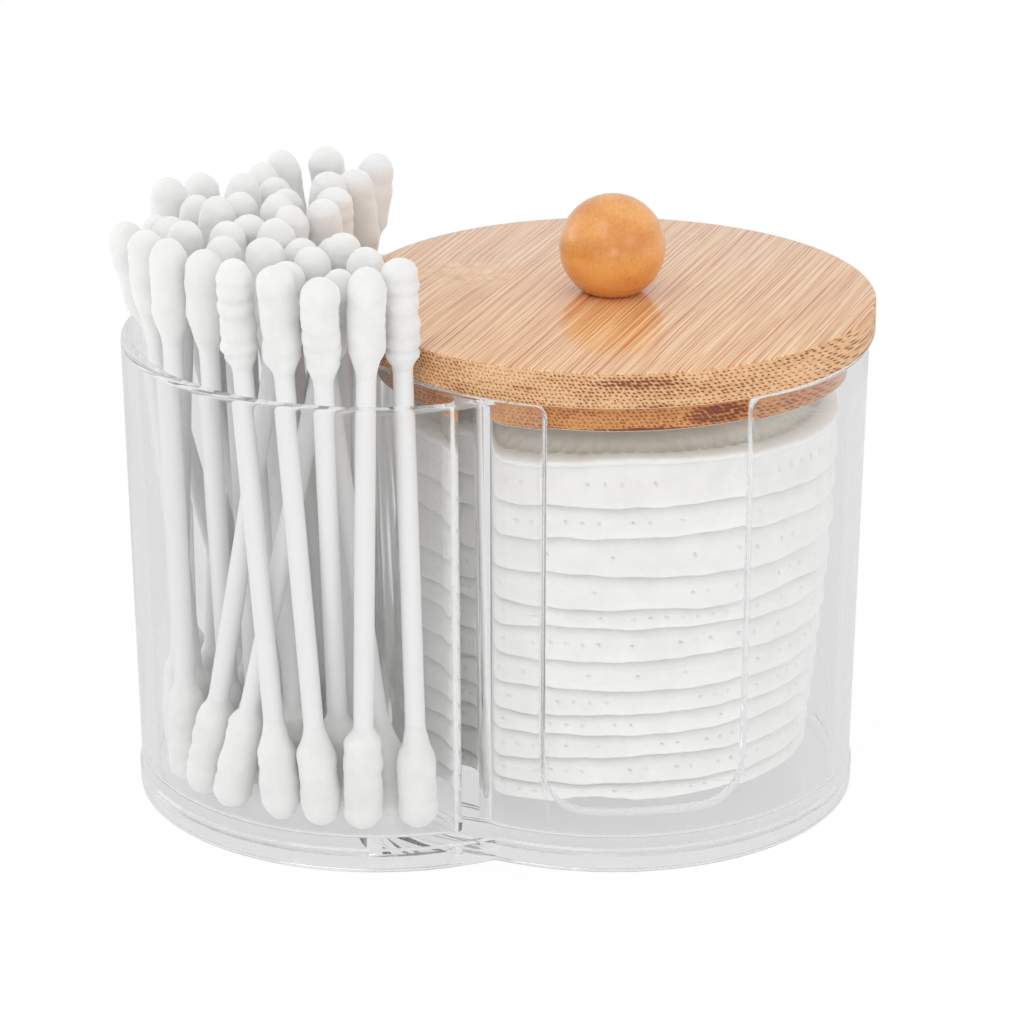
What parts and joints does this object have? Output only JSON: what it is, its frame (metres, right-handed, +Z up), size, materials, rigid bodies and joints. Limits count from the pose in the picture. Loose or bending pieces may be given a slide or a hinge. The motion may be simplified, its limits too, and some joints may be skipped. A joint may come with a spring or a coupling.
{
  "type": "cotton pad holder",
  "caption": "Clear two-cup holder for cotton pads and swabs: a slotted round cup under a bamboo lid with a ball knob, and an open crescent cup beside it.",
  "frame": {"origin": "under the middle of the whole object, on the surface that the holder stands on", "axes": "+Z up; -Y is the front, where the slot of the pad cup opens; +X runs from the swab cup to the pad cup"},
  "size_m": [0.0964, 0.067, 0.079],
  "materials": {
    "clear_plastic": "clear moulded plastic, polished",
    "bamboo_top": "bamboo board, clear varnish, long grain",
    "bamboo_plug": "bamboo board, clear varnish, end grain on the rim",
    "knob_wood": "turned wooden ball, glossy varnish",
    "screw_steel": "plain zinc plated",
    "pad_cotton": "pressed white cotton with a crimped edge",
    "swab_cotton": "white cotton buds on a white paper stick"
  },
  "bodies": {
    "holder": {"holder_body": "clear_plastic"},
    "lid": {"lid_disc": "bamboo_top", "lid_plug": "bamboo_plug", "lid_knob": "knob_wood", "lid_screw": "screw_steel"},
    "pads": {"cotton_pad_01": "pad_cotton", "cotton_pad_02": "pad_cotton", "cotton_pad_03": "pad_cotton", "cotton_pad_04": "pad_cotton", "cotton_pad_05": "pad_cotton", "cotton_pad_06": "pad_cotton", "cotton_pad_07": "pad_cotton", "cotton_pad_08": "pad_cotton", "cotton_pad_09": "pad_cotton", "cotton_pad_10": "pad_cotton", "cotton_pad_11": "pad_cotton", "cotton_pad_12": "pad_cotton"},
    "swabs": {"cotton_swab_01": "swab_cotton", "cotton_swab_02": "swab_cotton", "cotton_swab_03": "swab_cotton", "cotton_swab_04": "swab_cotton", "cotton_swab_05": "swab_cotton", "cotton_swab_06": "swab_cotton", "cotton_swab_07": "swab_cotton", "cotton_swab_08": "swab_cotton", "cotton_swab_09": "swab_cotton", "cotton_swab_10": "swab_cotton", "cotton_swab_11": "swab_cotton", "cotton_swab_12": "swab_cotton", "cotton_swab_13": "swab_cotton", "cotton_swab_14": "swab_cotton", "cotton_swab_15": "swab_cotton", "cotton_swab_16": "swab_cotton", "cotton_swab_17": "swab_cotton", "cotton_swab_18": "swab_cotton", "cotton_swab_19": "swab_cotton", "cotton_swab_20": "swab_cotton", "cotton_swab_21": "swab_cotton", "cotton_swab_22": "swab_cotton", "cotton_swab_23": "swab_cotton", "cotton_swab_24": "swab_cotton", "cotton_swab_25": "swab_cotton", "cotton_swab_26": "swab_cotton", "cotton_swab_27": "swab_cotton", "cotton_swab_28": "swab_cotton", "cotton_swab_29": "swab_cotton", "cotton_swab_30": "swab_cotton", "cotton_swab_31": "swab_cotton", "cotton_swab_32": "swab_cotton", "cotton_swab_33": "swab_cotton", "cotton_swab_34": "swab_cotton", "cotton_swab_35": "swab_cotton", "cotton_swab_36": "swab_cotton", "cotton_swab_37": "swab_cotton", "cotton_swab_38": "swab_cotton", "cotton_swab_39": "swab_cotton", "cotton_swab_40": "swab_cotton", "cotton_swab_41": "swab_cotton", "cotton_swab_42": "swab_cotton"}
  },
  "joints": [
    {"name": "lid_lift", "type": "slide", "parent": "holder", "child": "lid", "axis": [0, 0, 1], "range_m": [0, 0.06]},
    {"name": "pads_lift", "type": "slide", "parent": "holder", "child": "pads", "axis": [0, 0, 1], "range_m": [0, 0.002]},
    {"name": "swabs_lift", "type": "slide", "parent": "holder", "child": "swabs", "axis": [0, 0, 1], "range_m": [0, 0.08]}
  ]
}
